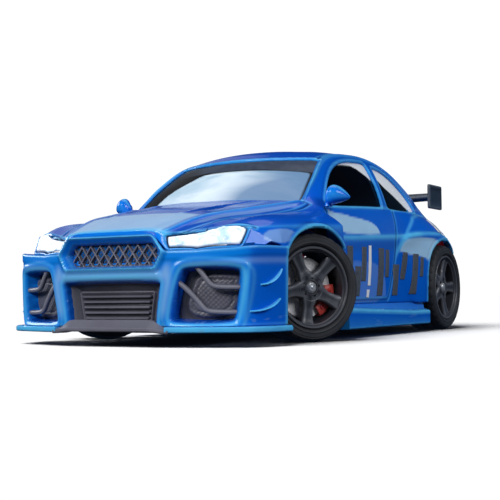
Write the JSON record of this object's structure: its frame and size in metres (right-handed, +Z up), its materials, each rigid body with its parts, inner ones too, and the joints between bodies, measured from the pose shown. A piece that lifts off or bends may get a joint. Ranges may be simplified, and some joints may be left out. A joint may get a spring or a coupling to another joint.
{
  "type": "remote control car",
  "caption": "Palm-size remote control drift coupe with steering front wheels, a driven rear axle, a wide-body shell and a rear wing.",
  "frame": {"origin": "on the ground plane, below the middle of the car's length and width", "axes": "-Y is the nose, +X is the car's left side, +Z is up; the wheels stand on z = 0; the front wheels are built steered 30 degrees to the car's right"},
  "size_m": [0.0552, 0.106, 0.0353],
  "materials": {
    "blue_paint": "glossy moulded shell paint",
    "dark_grey_plastic": "satin moulded inserts",
    "black_plastic": "moulded chassis nylon",
    "tyre_compound": "hard slick compound",
    "rim_plastic": "anthracite satin",
    "steel": "bright",
    "brass": "turned",
    "brake_disc": "silver moulding",
    "caliper_red": "gloss",
    "smoked_glazing": "smoked glossy sheet",
    "clear_lens": "clear moulding",
    "lamp_white": "white light source",
    "tail_lamp_red": "red lens",
    "circuit_green": "circuit board",
    "battery_wrap": "silver wrap",
    "white_nylon": "moulded gear"
  },
  "bodies": {
    "chassis": {"chassis_tub": "black_plastic", "upper_arm_plate": "black_plastic", "axle_cap_left": "black_plastic", "axle_cap_right": "black_plastic", "steering_servo": "black_plastic", "motor_can": "steel", "battery_cell": "battery_wrap", "circuit_board": "circuit_green", "charge_port": "steel", "kingpin_left": "steel", "kingpin_right": "steel", "axle_bush_left": "brass", "axle_bush_right": "brass", "shell_screw_front_left": "steel", "shell_screw_front_right": "steel", "shell_screw_rear_left": "steel", "shell_screw_rear_right": "steel", "body_shell": "blue_paint", "window_glazing": "smoked_glazing", "headlamp_lens_left": "clear_lens", "headlamp_lens_right": "clear_lens", "headlamp_led_left": "lamp_white", "headlamp_led_right": "lamp_white", "tail_lamp_left": "tail_lamp_red", "tail_lamp_right": "tail_lamp_red", "front_bumper": "blue_paint", "grille_insert": "dark_grey_plastic", "intercooler_insert": "dark_grey_plastic", "intake_insert_left": "dark_grey_plastic", "intake_insert_right": "dark_grey_plastic", "rear_bumper": "blue_paint", "rear_diffuser": "dark_grey_plastic", "side_skirt_left": "blue_paint", "side_skirt_right": "blue_paint", "mirror_left": "blue_paint", "mirror_right": "blue_paint", "rear_wing": "black_plastic"},
    "knuckle_l": {"knuckle_left": "black_plastic", "brake_caliper_left": "caliper_red", "stub_axle_left": "steel"},
    "knuckle_r": {"knuckle_right": "black_plastic", "brake_caliper_right": "caliper_red", "stub_axle_right": "steel"},
    "wheel_front_l": {"tyre_front_left": "tyre_compound", "rim_front_left": "rim_plastic", "brake_disc_left": "brake_disc"},
    "wheel_front_r": {"tyre_front_right": "tyre_compound", "rim_front_right": "rim_plastic", "brake_disc_right": "brake_disc"},
    "tie_rod_body": {"tie_rod": "black_plastic"},
    "servo_horn_body": {"servo_horn": "black_plastic"},
    "rear_axle_body": {"rear_axle": "steel", "spur_gear": "white_nylon", "tyre_rear_left": "tyre_compound", "rim_rear_left": "rim_plastic", "tyre_rear_right": "tyre_compound", "rim_rear_right": "rim_plastic"},
    "pinion_body": {"motor_pinion": "brass"},
    "switch_body": {"power_switch": "black_plastic"}
  },
  "joints": [
    {"name": "steer_left", "type": "hinge", "parent": "chassis", "child": "knuckle_l", "pos_m": [0.0189, -0.0272, 0.0087], "axis": [0, 0, 1], "range_deg": [-2, 62]},
    {"name": "steer_right", "type": "hinge", "parent": "chassis", "child": "knuckle_r", "pos_m": [-0.0189, -0.0272, 0.0087], "axis": [0, 0, 1], "range_deg": [-2, 62]},
    {"name": "servo_turn", "type": "hinge", "parent": "chassis", "child": "servo_horn_body", "pos_m": [0, -0.0272, 0.0087], "axis": [0, 0, 1], "range_deg": [-2, 62]},
    {"name": "tie_rod_pivot", "type": "hinge", "parent": "knuckle_l", "child": "tie_rod_body", "pos_m": [0.01715, -0.03023, 0.0087], "axis": [0, 0, 1], "range_deg": [-62, 2]},
    {"name": "front_left_spin", "type": "hinge", "parent": "knuckle_l", "child": "wheel_front_l", "pos_m": [0.0189, -0.0272, 0.0087], "axis": [0.866, -0.5, 0], "continuous": true},
    {"name": "front_right_spin", "type": "hinge", "parent": "knuckle_r", "child": "wheel_front_r", "pos_m": [-0.0189, -0.0272, 0.0087], "axis": [0.866, -0.5, 0], "continuous": true},
    {"name": "rear_axle_spin", "type": "hinge", "parent": "chassis", "child": "rear_axle_body", "pos_m": [0, 0.0309, 0.0087], "axis": [1, 0, 0], "continuous": true},
    {"name": "pinion_spin", "type": "hinge", "parent": "chassis", "child": "pinion_body", "pos_m": [0.0065, 0.02396, 0.0096], "axis": [1, 0, 0], "continuous": true},
    {"name": "power_switch_slide", "type": "slide", "parent": "chassis", "child": "switch_body", "axis": [1, 0, 0], "range_m": [0, 0.002]}
  ],
  "couplings": [
    {"joint": "steer_right", "follows": "steer_left", "ratio": 1},
    {"joint": "servo_turn", "follows": "steer_left", "ratio": 1},
    {"joint": "tie_rod_pivot", "follows": "steer_left", "ratio": -1},
    {"joint": "pinion_spin", "follows": "rear_axle_spin", "ratio": -2.5}
  ]
}
